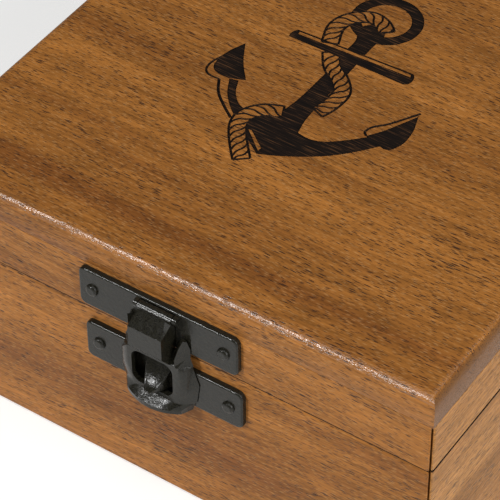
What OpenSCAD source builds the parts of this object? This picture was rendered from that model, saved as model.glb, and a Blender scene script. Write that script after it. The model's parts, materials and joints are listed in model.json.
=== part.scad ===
/* [Box] */
// Width of the box along its front
box_w = 127; // [100:1:200]
// Depth of the box from front to back
box_d = 127; // [100:1:200]
// Height of the body's boards, from the table to the seam
body_h = 43.7; // [38:0.1:90]
// Thickness of the boards of the body and of the lid's rim
wall_t = 7.6; // [6.5:0.1:12]
// Radius of the eased upright corners
corner_r = 0.9; // [0.4:0.1:2.5]

/* [Bottom] */
// Thickness of the bottom panel
bottom_t = 4; // [3:0.1:8]
// How far the bottom panel is let into each board
rebate_w = 3.6; // [2:0.1:5]

/* [Lid] */
// Height of the lid's rim boards
rim_h = 12.6; // [12:0.1:30]
// Thickness of the lid's top panel
panel_t = 7.6; // [5:0.1:12]
// Radius of the round-over along the top panel's upper edge
panel_edge_r = 2.4; // [1:0.1:4]

/* [Latch plates] */
// Width of each latch plate
plate_w = 39; // [36:0.5:50]
// Height of each latch plate
plate_h = 10.2; // [9.4:0.1:12]
// Thickness of the latch plates
plate_t = 1.3; // [1:0.05:1.6]
// Radius of the plates' corners
plate_corner_r = 1.6; // [0.5:0.1:2.5]
// Height of the upper plate's lower edge above the lid rim's lower edge
upper_plate_rise = 1.8; // [1:0.1:2]
// Distance of the lower plate's upper edge below the body's rim
lower_plate_drop = 2.6; // [2:0.1:4]
// How far to the right of the middle the lower plate is fitted
lower_plate_shift = 1; // [0:0.1:1.5]
// Distance between the two nails of a latch plate
plate_nail_pitch = 32.2; // [30:0.2:33]

/* [Latch pin] */
// Radius of the pin that the tongue swings on
latch_pin_r = 0.45; // [0.3:0.05:0.55]
// Distance of the pin's axis in front of the box
latch_pin_out = 1.9; // [1.8:0.05:2.1]
// Distance of the pin's axis below the upper plate's top edge
latch_pin_drop = 1.5; // [1.4:0.05:1.8]
// Radius of the tongue's knuckle
tongue_knuckle_r = 1; // [0.9:0.05:1.05]
// Radius of the upper plate's two lugs
lug_r = 0.95; // [0.85:0.05:1.2]
// Thickness of each lug
lug_t = 0.9; // [0.6:0.1:1.5]

/* [Latch tongue] */
// Height of the flat strip across the hood's top
strip_h = 0.8; // [0.5:0.1:1]
// How far to the right of the middle the tongue and the nose sit
tongue_shift = 0.4; // [0:0.1:1]
// Thickness of the tongue's walls
tongue_t = 1.2; // [0.9:0.05:1.3]
// Width of the hood at the tongue's top
hood_w = 8.2; // [7.8:0.1:9.4]
// Distance of the hood's face in front of the box
hood_out = 6.3; // [5.8:0.1:7]
// Distance of the hood's bend below the pin's axis
hood_bend_drop = 2.6; // [2:0.1:3]
// Height of the hood's upright face
hood_face_h = 5.4; // [5:0.1:6.2]
// Height of the slope from the hood's face down to the shoulders
hood_slope_h = 3.2; // [2.6:0.1:3.6]
// Width of the facet on each upper corner of the hood
hood_facet_w = 1.4; // [0.6:0.1:2]
// Depth of the facet on each upper corner of the hood
hood_facet_d = 0.9; // [0.4:0.1:1.1]
// Distance of the tongue's window face in front of the box
face_out = 4; // [3.6:0.1:4.4]
// Width of the tongue's face at its shoulders
shoulder_w = 12.2; // [11.6:0.1:13.4]
// Width of the tongue's face at its belly
belly_w = 14.8; // [13.8:0.1:16]
// Width of the tongue's face at the window's foot
foot_w = 12.2; // [11:0.1:13]
// Width across the back of the side walls at the shoulders
shoulder_back_w = 16.8; // [16:0.1:18.4]
// Width across the back of the side walls at the belly
belly_back_w = 19.6; // [18.8:0.1:21.4]
// Rise of the two ears above the tongue's shoulders
ear_rise = 7; // [5:0.1:7.6]
// How far the ears lap over the hood's slope
ear_lap = 0.6; // [0.3:0.1:0.9]
// How far the crest above the shoulders is drawn in at each side
crest_in = 0.9; // [0.5:0.1:1.2]
// Thickness of that crest
crest_t = 0.4; // [0.2:0.1:0.8]
// Width of the window over the nose
window_w = 7.8; // [7.4:0.1:8.6]
// Height of the window, to the top of its arch
window_h = 8.4; // [8:0.1:8.8]
// Width of the finger lip
lip_w = 18.6; // [17:0.1:19.4]
// Distance of the finger lip's rim in front of the box
lip_out = 6.2; // [5.2:0.1:6.6]
// Height of the finger lip's flare
lip_flare_h = 2.5; // [1.6:0.1:2.8]
// Height of the finger lip's rim
lip_rim_h = 0.9; // [0.6:0.1:1.2]
// Width of the finger lip's rim between its two round ends
lip_flat_w = 13; // [11:0.1:15]
// Bulge of the finger lip's rim in its middle
lip_crown = 1.9; // [1:0.1:2.4]

/* [Latch nose] */
// Width of the nose where it leaves the lower plate
nose_w = 6.6; // [5.6:0.1:7]
// Height of the nose where it leaves the lower plate
nose_h = 6.6; // [5.6:0.1:7]
// Distance of the nose's tip in front of the box
nose_out = 6.6; // [6:0.1:7.2]
// Height of the nose's underside above the lower plate's lower edge, at the plate
nose_rise = 3.4; // [3:0.1:3.6]
// Rise of the nose's underside from the plate to its tip
nose_draft = 0.3; // [0.25:0.05:0.4]
// Width of the nose's blunt tip
nose_tip_w = 0.9; // [0.6:0.1:1.6]
// Height of the top of the nose's blunt tip above its underside at the plate
nose_tip_h = 0.7; // [0.6:0.1:1.2]
// Depth of the scoop along the top of the nose
nose_scoop = 0.6; // [0.3:0.1:0.9]

/* [Nails] */
// Radius of the nail heads
nail_head_r = 1.45; // [1.2:0.05:1.7]
// Height of the domed nail heads
nail_head_h = 0.75; // [0.4:0.05:0.8]
// Radius of the nails
nail_r = 0.65; // [0.4:0.05:0.8]
// Length of the nails under the head
nail_l = 6; // [4:0.1:6.8]
// Length of the nails' point
nail_point_l = 1.6; // [1:0.1:2.4]

/* [Hinges] */
// Distance of each hinge's middle from the box's side
hinge_inset = 26; // [16:0.5:34]
// Width of the hinges
hinge_w = 24; // [20:0.5:30]
// Height of each hinge leaf, measured from the pin
leaf_h = 9.4; // [8.6:0.1:11]
// Thickness of the hinge leaves
leaf_t = 0.9; // [0.6:0.05:1.2]
// Radius of the hinge leaves' corners
leaf_corner_r = 1.2; // [0.4:0.1:2]
// Radius of the hinge knuckles
knuckle_r = 1.7; // [1.5:0.05:2.2]
// Width of the middle knuckle
knuckle_w = 8; // [6:0.1:10]
// Radius of the hinge pins
hinge_pin_r = 0.75; // [0.5:0.05:1]
// Radius of the hinge pins' heads
pin_head_r = 1.15; // [1:0.05:1.4]
// Thickness of the hinge pins' heads
pin_head_t = 0.5; // [0.3:0.05:0.8]
// Distance between the two nails of a leaf
leaf_nail_pitch = 15; // [12:0.2:16]
// Distance of a leaf's nails from the pin
leaf_nail_reach = 5.9; // [5.4:0.1:6.6]

/* [Clearances] */
// Gap of the seam between body and lid
seam_gap = 0.4; // [0.2:0.05:0.8]
// Gap round the bottom panel in its rebate
panel_gap = 0.1; // [0.05:0.05:0.4]
// Radial play of a knuckle on its pin
pin_play = 0.05; // [0.02:0.01:0.08]
// Radial play of a nail in its metal plate
nail_play = 0.05; // [0.02:0.01:0.1]
// Gap between moving metal pieces that pass each other
metal_gap = 0.2; // [0.15:0.05:0.3]
// Gap under the nose, for the edge of the tongue's window
hook_gap = 0.4; // [0.35:0.05:0.5]

/* [Hidden] */
$fn = 48;

wood = "#9c5f2c";
black = "#23211f";

// How far cuts run past a face
over = 1;
// Steps on each side of the middle of a curved face
half_steps = 4;

// Heights of the seam and of the lid
rim_z = body_h + seam_gap;
panel_z = rim_z + rim_h;
top_z = panel_z + panel_t;
seam_z = body_h + seam_gap / 2;

// Latch plates and the pin's axis
upper_z = rim_z + upper_plate_rise;
lower_z = body_h - lower_plate_drop - plate_h;
upper_nail_z = upper_z + plate_h / 2;
lower_nail_z = lower_z + plate_h / 2;
pin_z = upper_z + plate_h - latch_pin_drop;
lug_x = hood_w / 2 + metal_gap;
latch_pin_l = 2 * (lug_x + lug_t);

// Tongue: distances in front of the box and heights of its bends
back_out = plate_t + metal_gap;
strip_out = latch_pin_out + tongue_knuckle_r;
strip_z = pin_z - strip_h / 2;
hood_bend_z = pin_z - hood_bend_drop;
hood_foot_z = hood_bend_z - hood_face_h;
shoulder_z = hood_foot_z - hood_slope_h;
crest_z = shoulder_z + (face_out - back_out);
nose_z = lower_z + nose_rise;
window_z = nose_z - hook_gap;
cheek_z = window_z + window_h;
belly_z = window_z + window_h / 2;
lip_root_z = window_z - tongue_t;
lip_z = lip_root_z - lip_flare_h;

// Hinges
axis_out = knuckle_r + metal_gap;
hinge_x = box_w / 2 - hinge_inset;

// Outline with four rounded corners, centred
module rounded_rect(size, r) {
    square([size[0] - 2 * r, size[1]], center = true);
    square([size[0], size[1] - 2 * r], center = true);
    for (x = [-1, 1], y = [-1, 1])
        translate([x * (size[0] / 2 - r), y * (size[1] / 2 - r)]) circle(r);
}

// Side view of the top panel: square below, rounded over above
module panel_profile(size) {
    translate([-size / 2, 0]) square([size, panel_t - panel_edge_r]);
    translate([-size / 2 + panel_edge_r, 0]) square([size - 2 * panel_edge_r, panel_t]);
    for (x = [-1, 1])
        translate([x * (size / 2 - panel_edge_r), panel_t - panel_edge_r]) circle(panel_edge_r);
}

// The box's outline from above, as tall as h
module box_outline(h) {
    linear_extrude(h) rounded_rect([box_w, box_d], corner_r);
}

// Moves a shape from the origin onto the front face, or the back face
module on_front() translate([0, -box_d / 2, 0]) children();
module on_back() mirror([0, 1, 0]) on_front() children();

// Stands an outline of width and height up, its thickness towards the viewer
module facing(t) rotate([90, 0, 0]) linear_extrude(t) children();

// Runs a side view, drawn as distance out and height, across the front
module across(w) rotate([90, 0, -90]) linear_extrude(w, center = true) children();

// A mitred board of the front or back, its outer face at y = 0
module board_across(h) {
    linear_extrude(h)
        polygon([[-box_w / 2, 0], [box_w / 2, 0],
                 [box_w / 2 - wall_t, wall_t], [-box_w / 2 + wall_t, wall_t]]);
}

// A mitred board of a side, its outer face at x = 0, running back from the front
module board_deep(h) {
    linear_extrude(h)
        polygon([[0, -box_d / 2], [wall_t, -box_d / 2 + wall_t],
                 [wall_t, box_d / 2 - wall_t], [0, box_d / 2]]);
}

// The space that the bottom panel fills, drawn in by gap all round
module bottom_space(gap) {
    side = 2 * (wall_t - rebate_w + gap);
    linear_extrude(bottom_t) square([box_w - side, box_d - side], center = true);
}

// Nail, driven towards +Y, its head's underside at y = 0
module nail() {
    dome_r = (pow(nail_head_r, 2) + pow(nail_head_h, 2)) / (2 * nail_head_h);
    rotate([90, 0, 0]) {
        intersection() {
            translate([0, 0, nail_head_h - dome_r]) sphere(dome_r);
            cylinder(r = nail_head_r + over, h = nail_head_h);
        }
        translate([0, 0, nail_point_l - nail_l]) cylinder(r = nail_r, h = nail_l - nail_point_l);
        translate([0, 0, -nail_l]) cylinder(r1 = 0, r2 = nail_r, h = nail_point_l);
    }
}

// Hole for a nail in metal of thickness t
module nail_hole(t) {
    translate([0, over, 0]) rotate([90, 0, 0]) cylinder(r = nail_r + nail_play, h = t + 2 * over);
}

// Places of the two nails of a latch plate, or of a hinge leaf
module at_plate_nails(shift, z) {
    for (x = [-1, 1]) translate([shift + x * plate_nail_pitch / 2, 0, z]) children();
}
module at_leaf_nails(x, z) {
    for (side = [-1, 1]) translate([x + side * leaf_nail_pitch / 2, 0, z]) children();
}

// Nails of the latch: plate height z, moved sideways by shift
module latch_nails(shift, z) {
    on_front() translate([0, -plate_t, 0]) at_plate_nails(shift, z) nail();
}

// Nails of one hinge's leaf: way is 1 for the lid's leaf and -1 for the body's
module hinge_nails(x, way) {
    on_back() translate([0, -leaf_t, 0])
        at_leaf_nails(x, seam_z + way * leaf_nail_reach) nail();
}

module body_board_across() {
    difference() {
        intersection() {
            translate([0, -box_d / 2, 0]) board_across(body_h);
            box_outline(body_h);
        }
        bottom_space(0);
    }
}

module body_board_deep() {
    difference() {
        intersection() {
            translate([-box_w / 2, 0, 0]) board_deep(body_h);
            box_outline(body_h);
        }
        bottom_space(0);
    }
}

module body_front() {
    color(wood) difference() {
        body_board_across();
        latch_nails(lower_plate_shift, lower_nail_z);
    }
}

module body_back() {
    color(wood) difference() {
        mirror([0, 1, 0]) body_board_across();
        for (x = [-hinge_x, hinge_x]) hinge_nails(x, -1);
    }
}

module body_left() color(wood) body_board_deep();
module body_right() color(wood) mirror([1, 0, 0]) body_board_deep();
module body_bottom() color(wood) bottom_space(panel_gap);

module rail_across() {
    intersection() {
        translate([0, -box_d / 2, rim_z]) board_across(rim_h);
        translate([0, 0, rim_z]) box_outline(rim_h);
    }
}

module rail_deep() {
    intersection() {
        translate([-box_w / 2, 0, rim_z]) board_deep(rim_h);
        translate([0, 0, rim_z]) box_outline(rim_h);
    }
}

module lid_front_rail() {
    color(wood) difference() {
        rail_across();
        latch_nails(0, upper_nail_z);
    }
}

module lid_back_rail() {
    color(wood) difference() {
        mirror([0, 1, 0]) rail_across();
        for (x = [-hinge_x, hinge_x]) hinge_nails(x, 1);
    }
}

module lid_left_rail() color(wood) rail_deep();
module lid_right_rail() color(wood) mirror([1, 0, 0]) rail_deep();

module lid_panel() {
    color(wood) translate([0, 0, panel_z]) intersection() {
        box_outline(panel_t);
        across(box_w) panel_profile(box_d);
        rotate([90, 0, 0]) linear_extrude(box_d, center = true) panel_profile(box_w);
    }
}

// A latch plate's blank, its lower edge at z
module plate_blank(z) {
    translate([0, 0, z + plate_h / 2]) facing(plate_t)
        rounded_rect([plate_w, plate_h], plate_corner_r);
}

// Lays a cylinder along the latch pin's axis
module at_latch_pin() {
    translate([tongue_shift, -latch_pin_out, pin_z]) rotate([0, 90, 0]) children();
}

// The upper plate: a trough behind the tongue's knuckle, and a lug at each side of it
module latch_upper_plate() {
    trough_w = 2 * lug_x;
    color(black) on_front() difference() {
        union() {
            difference() {
                plate_blank(upper_z);
                at_latch_pin() cylinder(r = tongue_knuckle_r + metal_gap, h = trough_w, center = true);
            }
            for (side = [-1, 1])
                translate([tongue_shift + side * (lug_x + lug_t / 2), 0, 0]) across(lug_t) {
                    translate([latch_pin_out, pin_z]) circle(lug_r);
                    translate([plate_t / 2, pin_z - lug_r])
                        square([latch_pin_out - plate_t / 2, 2 * lug_r]);
                }
        }
        at_latch_pin() cylinder(r = latch_pin_r, h = latch_pin_l + 2 * over, center = true);
        at_plate_nails(0, upper_nail_z) nail_hole(plate_t);
    }
}

module latch_upper_nails() color(black) latch_nails(0, upper_nail_z);

module latch_pin() {
    color(black) on_front() at_latch_pin()
        cylinder(r = latch_pin_r, h = latch_pin_l, center = true);
}

// One level of the tongue: face and back are half widths, out is the distance of the
// face in front of the box, crown its bulge in the middle, rear the distance of the back
function level(z, face, out, back, crown, rear) = concat(
    [[-back, -rear, z]],
    [for (i = [-half_steps:half_steps])
        let(s = i / half_steps) [face * s, -out - crown * (1 - s * s), z]],
    [[back, -rear, z]]
);

// Closed shell through levels given from the lowest up
module shell(levels) {
    n = len(levels[0]);
    last = len(levels) - 1;
    points = [for (one = levels) for (p = one) p];
    sides = [for (k = [0:last - 1]) for (i = [0:n - 1])
        let(j = (i + 1) % n, low = k * n, high = low + n)
        for (half = [0, 1])
            half == 0 ? [low + i, high + i, high + j] : [low + i, high + j, low + j]];
    floor_face = [for (i = [0:n - 1]) i];
    roof_face = [for (i = [n - 1:-1:0]) last * n + i];
    polyhedron(points, concat([floor_face], sides, [roof_face]));
}

// The tongue's bowl, with t taken off all round, and its back and foot moved out by grow
module bowl(t, grow) {
    rear = back_out - grow;
    shell([
        level(lip_root_z - grow, foot_w / 2 - t, face_out - t, belly_back_w / 2 - t, 0, rear),
        level(window_z, foot_w / 2 - t, face_out - t, belly_back_w / 2 - t, 0, rear),
        level(belly_z, belly_w / 2 - t, face_out - t, belly_back_w / 2 - t, 0, rear),
        level(cheek_z, belly_w / 2 - t, face_out - t, shoulder_back_w / 2 - t, 0, rear),
        level(shoulder_z, shoulder_w / 2 - t, face_out - t, shoulder_back_w / 2 - t, 0, rear),
        level(crest_z, shoulder_w / 2 - crest_in - t, back_out + crest_t - t,
              shoulder_back_w / 2 - crest_in - t, 0, rear)
    ]);
}

// The finger lip: a D-shaped flange that flares from the tongue's foot
module finger_lip() {
    ends_out = lip_out - lip_crown;
    shell([
        level(lip_z, lip_flat_w / 2, ends_out, lip_w / 2, lip_crown, back_out),
        level(lip_z + lip_rim_h, lip_flat_w / 2, ends_out, lip_w / 2, lip_crown, back_out),
        level(lip_root_z, foot_w / 2, face_out, lip_w / 2, 0, back_out)
    ]);
}

// One ear: the side wall carried up beside the hood. Its outline is given as shares of
// the wall's run, from the face to the back, and of the ear's rise
module ear() {
    spread = (shoulder_back_w - shoulder_w) / 2;
    deep = face_out - back_out;
    run = norm([spread, deep]);
    outline = [[0, -0.3], [1, -0.3], [1, 0.6], [0.8, 0.95], [0.55, 1], [0.3, 0.75], [0, 0.3]];
    difference() {
        translate([shoulder_w / 2 - ear_lap, -face_out, 0]) rotate([0, 0, atan2(deep, spread)])
            rotate([90, 0, 0]) mirror([0, 0, 1]) linear_extrude(tongue_t)
                polygon([for (p = outline) [p[0] * run, shoulder_z + p[1] * ear_rise]]);
        translate([0, 0, shoulder_z]) facing(back_out) square(2 * belly_back_w, center = true);
    }
}

// Side view of the hood, outside
module hood_profile() {
    polygon([
        [back_out, shoulder_z], [face_out, shoulder_z], [hood_out, hood_foot_z],
        [hood_out, hood_bend_z], [strip_out, strip_z], [strip_out, strip_z + strip_h],
        [latch_pin_out, strip_z + strip_h], [latch_pin_out, pin_z - tongue_knuckle_r],
        [back_out, pin_z - tongue_knuckle_r - metal_gap]
    ]);
}

// Side view of the hollow inside the hood
module hood_hollow() {
    roof_z = strip_z - tongue_t;
    polygon([
        [back_out - over, shoulder_z - over], [face_out - tongue_t, shoulder_z - over],
        [face_out - tongue_t, shoulder_z], [hood_out - tongue_t, hood_foot_z],
        [hood_out - tongue_t, hood_bend_z - tongue_t / 2], [strip_out - tongue_t, roof_z],
        [back_out - over, roof_z]
    ]);
}

// Wedge cut off the hood's upper right corner: its point is on the bend, and it is
// hood_facet_w wide and hood_facet_d deep where the slope meets the strip
module hood_facet() {
    bend = [hood_w / 2, -hood_out, hood_bend_z];
    corner = [hood_w / 2, -strip_out, strip_z];
    reach = (strip_z + strip_h + over - hood_bend_z) / (strip_z - hood_bend_z);
    tops = [for (step = [[-hood_facet_w, 0, 0], [0, hood_facet_d, 0], [over, -over, 0]])
        bend + reach * (corner + step - bend)];
    polyhedron(concat([bend], tops), [[0, 1, 2], [0, 2, 3], [0, 3, 1], [1, 3, 2]]);
}

module hood() {
    difference() {
        across(hood_w) hood_profile();
        hood_facet();
        mirror([1, 0, 0]) hood_facet();
    }
}

// Front view of the window: upright sides and an arched top
module window_outline() {
    r = window_w / 2;
    translate([-r, window_z]) square([window_w, window_h - r]);
    translate([0, window_z + window_h - r]) circle(r);
}

module latch_tongue() {
    color(black) on_front() difference() {
        union() {
            translate([tongue_shift, 0, 0]) {
                bowl(0, 0);
                finger_lip();
                ear();
                mirror([1, 0, 0]) ear();
                hood();
            }
            at_latch_pin() cylinder(r = tongue_knuckle_r, h = hood_w, center = true);
        }
        translate([tongue_shift, 0, 0]) {
            bowl(tongue_t, over);
            across(hood_w - 2 * tongue_t) hood_hollow();
            facing(hood_out) window_outline();
        }
        at_latch_pin()
            cylinder(r = latch_pin_r + pin_play, h = hood_w + 2 * over, center = true);
    }
}

// The nose: a wedge with a nearly flat underside that comes to a blunt tip, scooped on top
module nose() {
    sliver = 0.05;
    root = plate_t / 2;
    top_z = nose_z + nose_h;
    tip_z = nose_z + nose_tip_h;
    slope = atan2(top_z - tip_z, nose_out - plate_t);
    scoop_r = (pow(nose_w / 2, 2) + pow(nose_scoop, 2)) / (2 * nose_scoop);
    difference() {
        hull() {
            translate([-nose_w / 2, -root, nose_z]) cube([nose_w, sliver, nose_h]);
            translate([-nose_tip_w / 2, -nose_out, nose_z + nose_draft])
                cube([nose_tip_w, sliver, nose_tip_h - nose_draft]);
        }
        translate([0, -plate_t, top_z - nose_scoop]) rotate([90 + slope, 0, 0])
            translate([0, scoop_r, -nose_h]) cylinder(r = scoop_r, h = 3 * nose_h);
    }
}

module latch_lower_plate() {
    color(black) on_front() difference() {
        union() {
            translate([lower_plate_shift, 0, 0]) plate_blank(lower_z);
            translate([tongue_shift, 0, 0]) nose();
        }
        at_plate_nails(lower_plate_shift, lower_nail_z) nail_hole(plate_t);
    }
}

module latch_lower_nails() color(black) latch_nails(lower_plate_shift, lower_nail_z);

// Cylinder along the hinge axis from x = from to x = to
module barrel(r, from, to) {
    translate([from, -axis_out, seam_z]) rotate([0, 90, 0]) cylinder(r = r, h = to - from);
}

// A hinge leaf lying on the wood: way is 1 for the lid's leaf, which has the middle
// knuckle, and -1 for the body's, which has the outer two
module leaf(way) {
    half = hinge_w / 2;
    mid = knuckle_w / 2;
    outer = [[-half, -mid - metal_gap], [mid + metal_gap, half]];
    inner = [[-mid, mid]];
    own = way == 1 ? inner : outer;
    beside = [[-half - over, -mid], [mid, half + over]];
    between = [[-mid - metal_gap, mid + metal_gap]];
    other = way == 1 ? beside : between;
    bore_r = way == 1 ? hinge_pin_r + pin_play : hinge_pin_r;
    difference() {
        union() {
            difference() {
                translate([0, 0, seam_z + way * leaf_h / 2]) facing(leaf_t) {
                    rounded_rect([hinge_w, leaf_h], leaf_corner_r);
                    translate([-half, way == 1 ? -leaf_h / 2 : 0]) square([hinge_w, leaf_h / 2]);
                }
                for (span = other) barrel(knuckle_r + metal_gap, span[0], span[1]);
            }
            for (span = own) barrel(knuckle_r, span[0], span[1]);
        }
        barrel(bore_r, -half - over, half + over);
        at_leaf_nails(0, seam_z + way * leaf_nail_reach) nail_hole(leaf_t);
    }
}

module hinge_leaf(x, way) color(black) on_back() translate([x, 0, 0]) leaf(way);

module hinge_pin(x) {
    half = hinge_w / 2;
    color(black) on_back() translate([x, 0, 0]) {
        barrel(hinge_pin_r, -half, half);
        barrel(pin_head_r, half, half + pin_head_t);
        barrel(pin_head_r, -half - pin_head_t, -half);
    }
}

module left_hinge_body_leaf() hinge_leaf(-hinge_x, -1);
module left_hinge_lid_leaf() hinge_leaf(-hinge_x, 1);
module left_hinge_pin() hinge_pin(-hinge_x);
module left_hinge_body_nails() color(black) hinge_nails(-hinge_x, -1);
module left_hinge_lid_nails() color(black) hinge_nails(-hinge_x, 1);
module right_hinge_body_leaf() hinge_leaf(hinge_x, -1);
module right_hinge_lid_leaf() hinge_leaf(hinge_x, 1);
module right_hinge_pin() hinge_pin(hinge_x);
module right_hinge_body_nails() color(black) hinge_nails(hinge_x, -1);
module right_hinge_lid_nails() color(black) hinge_nails(hinge_x, 1);

body_front();
body_back();
body_left();
body_right();
body_bottom();
lid_front_rail();
lid_back_rail();
lid_left_rail();
lid_right_rail();
lid_panel();
latch_upper_plate();
latch_upper_nails();
latch_pin();
latch_tongue();
latch_lower_plate();
latch_lower_nails();
left_hinge_body_leaf();
left_hinge_lid_leaf();
left_hinge_pin();
left_hinge_body_nails();
left_hinge_lid_nails();
right_hinge_body_leaf();
right_hinge_lid_leaf();
right_hinge_pin();
right_hinge_body_nails();
right_hinge_lid_nails();
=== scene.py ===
import bpy
import json
import math
from mathutils import Matrix, Vector


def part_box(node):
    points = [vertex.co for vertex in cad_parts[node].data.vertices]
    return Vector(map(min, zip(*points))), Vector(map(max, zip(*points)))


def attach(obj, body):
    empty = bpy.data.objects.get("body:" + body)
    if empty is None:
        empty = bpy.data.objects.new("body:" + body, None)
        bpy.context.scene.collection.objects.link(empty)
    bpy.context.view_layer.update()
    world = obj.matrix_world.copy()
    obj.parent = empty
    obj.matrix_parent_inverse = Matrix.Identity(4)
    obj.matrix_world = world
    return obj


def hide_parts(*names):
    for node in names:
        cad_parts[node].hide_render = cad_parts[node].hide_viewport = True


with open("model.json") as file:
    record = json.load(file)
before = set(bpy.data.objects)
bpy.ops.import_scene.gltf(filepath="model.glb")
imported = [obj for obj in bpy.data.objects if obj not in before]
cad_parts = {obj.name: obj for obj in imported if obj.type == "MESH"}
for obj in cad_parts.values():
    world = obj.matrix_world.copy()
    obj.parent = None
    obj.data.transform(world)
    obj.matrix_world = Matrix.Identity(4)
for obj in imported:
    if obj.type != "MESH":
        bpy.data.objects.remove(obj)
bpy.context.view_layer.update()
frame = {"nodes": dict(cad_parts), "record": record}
mm = 0.001


# Sizes read from the frame, so that the pieces follow it
def nodeBox(name):
    low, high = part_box(name)
    return low.copy(), high.copy()


boxLow, boxHigh = nodeBox("body_front")
bottomLow, bottomHigh = nodeBox("body_bottom")
panelLow, panelHigh = nodeBox("lid_panel")
halfWidth = boxHigh.x
halfDepth = -boxLow.y
wall = boxHigh.y - boxLow.y
panelTop = panelHigh.z


# Small helpers
def pick(obj):
    bpy.ops.object.select_all(action="DESELECT")
    bpy.context.view_layer.objects.active = obj
    obj.select_set(True)


def selectWhere(obj, kind, test):
    # kind is edges or polygons; test takes the centre and the direction
    bpy.ops.object.mode_set(mode="OBJECT")
    data = obj.data
    for part in (data.vertices, data.edges, data.polygons):
        part.foreach_set("select", [False] * len(part))
    for item in getattr(data, kind):
        if kind == "edges":
            a, b = (data.vertices[i].co for i in item.vertices)
            centre, way = (a + b) / 2, (b - a).normalized()
        else:
            centre, way = item.center, item.normal
        item.select = bool(test(centre, way))
    bpy.ops.object.mode_set(mode="EDIT")
    bpy.ops.mesh.select_mode(type="EDGE" if kind == "edges" else "FACE")


def near(a, b, slack=0.02 * mm):
    return abs(a - b) < slack


def addCube(name, low, high):
    bpy.ops.object.select_all(action="DESELECT")
    bpy.ops.mesh.primitive_cube_add(size=1, location=(low + high) / 2, scale=high - low)
    obj = bpy.context.active_object
    obj.name = obj.data.name = name
    bpy.ops.object.transform_apply(location=True, rotation=True, scale=True)
    return obj


def applyModifier(obj, kind, **settings):
    pick(obj)
    made = obj.modifiers.new(kind.title(), kind)
    for key, value in settings.items():
        setattr(made, key, value)
    bpy.ops.object.modifier_apply(modifier=made.name)


def cleanUp(obj, angle=35, weighted=True):
    pick(obj)
    bpy.ops.object.mode_set(mode="EDIT")
    bpy.ops.mesh.select_all(action="SELECT")
    bpy.ops.mesh.remove_doubles(threshold=0.002 * mm)
    bpy.ops.mesh.normals_make_consistent(inside=False)
    bpy.ops.object.mode_set(mode="OBJECT")
    bpy.ops.object.shade_smooth_by_angle(angle=math.radians(angle))
    if weighted:
        applyModifier(obj, "WEIGHTED_NORMAL", keep_sharp=True, weight=100)


def giveMaterials(obj, *materials):
    obj.data.materials.clear()
    for material in materials:
        obj.data.materials.append(material)


def settle(obj, body, slot, *nodes):
    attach(obj, body)
    if nodes:
        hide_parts(*nodes)


# Materials
def linear(hexColour):
    parts = [int(hexColour[i:i + 2], 16) / 255 for i in (1, 3, 5)]
    return [p / 12.92 if p <= 0.04045 else ((p + 0.055) / 1.055) ** 2.4 for p in parts] + [1]


def newMaterial(name):
    mat = bpy.data.materials.new(name)
    mat.use_nodes = True
    mat.node_tree.nodes.clear()
    return mat


def addNode(tree, kind, settings=None, **inputs):
    # One node with its settings, its values and what is linked to it; i0, i1 and on are socket numbers
    node = tree.nodes.new("ShaderNode" + kind)
    for key, value in (settings or {}).items():
        setattr(node, key, value)
    for key, value in inputs.items():
        if key[1:].isdigit():
            socket = node.inputs[int(key[1:])]
        else:
            socket = node.inputs[key.replace("_", " ")]
        if isinstance(value, bpy.types.NodeSocket):
            tree.links.new(value, socket)
        else:
            socket.default_value = value
    return node


def ramp(tree, source, stops):
    node = addNode(tree, "ValToRGB", i0=source)
    points = node.color_ramp.elements
    while len(points) < len(stops):
        points.new(0.5)
    for point, (place, colour) in zip(points, stops):
        point.position = place
        point.color = linear(colour)
    return node.outputs[0]


def calculate(tree, operation, **inputs):
    return addNode(tree, "Math", {"operation": operation}, **inputs).outputs[0]


def remap(tree, source, limits, kind="LINEAR"):
    # limits are two values of the source, and the two that they become
    low, high, newLow, newHigh = limits
    node = addNode(tree, "MapRange", {"interpolation_type": kind}, i0=source, i1=low, i2=high,
                   i3=newLow, i4=newHigh)
    return node.outputs[0]


def blend(tree, share, one, other):
    return addNode(tree, "Mix", {"data_type": "RGBA"}, i0=share, i6=one, i7=other).outputs[2]


def noise(tree, place, scale, detail, roughness=0.5):
    node = addNode(tree, "TexNoise", Vector=place, Scale=scale, Detail=detail, Roughness=roughness)
    return node.outputs["Fac"]


bumpDepth = 0.06 * mm


def surface(tree, height, strength, **inputs):
    bump = addNode(tree, "Bump", Strength=strength, Distance=bumpDepth, Height=height).outputs[0]
    shader = addNode(tree, "BsdfPrincipled", Normal=bump, **inputs)
    addNode(tree, "OutputMaterial", i0=shader.outputs[0])


woodLooks = {
    "wave": (45, 2.6),       # mm, length and height of the waves in the grain
    "band": (150, 9),        # this and the next six are mm along and across the grain
    "fibre": (11, 0.5),
    "mottle": (9, 3),
    "drift": (30, 5),
    "pore": (3.3, 0.5),      # from pore to pore: one is 2 mm long and a quarter of a mm wide
    "fine": (1.9, 0.36),
    "fleck": (2.1, 0.4),
    "grit": 0.4,             # mm
    "tones": ("#7f4e24", "#95602c", "#a96e33"),
    "toneStops": (0.32, 0.5, 0.68),
    "poreColour": "#271c1c",
    # pale specks painted into the colour as glints of the lacquer's sparkle
    "fleckColour": "#c99d69",
    "endGrain": "#75502f",
    "endPore": "#3b2517",
    "fibreTone": (0.25, 0.75, 0.62, 1.32),   # limits for remap, as are the next five
    "mottleTone": (0.3, 0.7, 0.9, 1.08),
    "driftEdge": (0.35, 0.7, 0.16, 0.42),
    "fleckShare": (0.1, 0.4, 0.32, 0),
    "fineShare": (0.12, 0.42, 0.58, 0),
    "endShare": (0.35, 0.9, 0, 0.9),
    "fibreShine": (0.2, 0.8),                # these two become the two values of shine
    "poreStrength": 0.86,
    "bumpStrength": 0.8,
    "refraction": 1.5,
}


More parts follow.
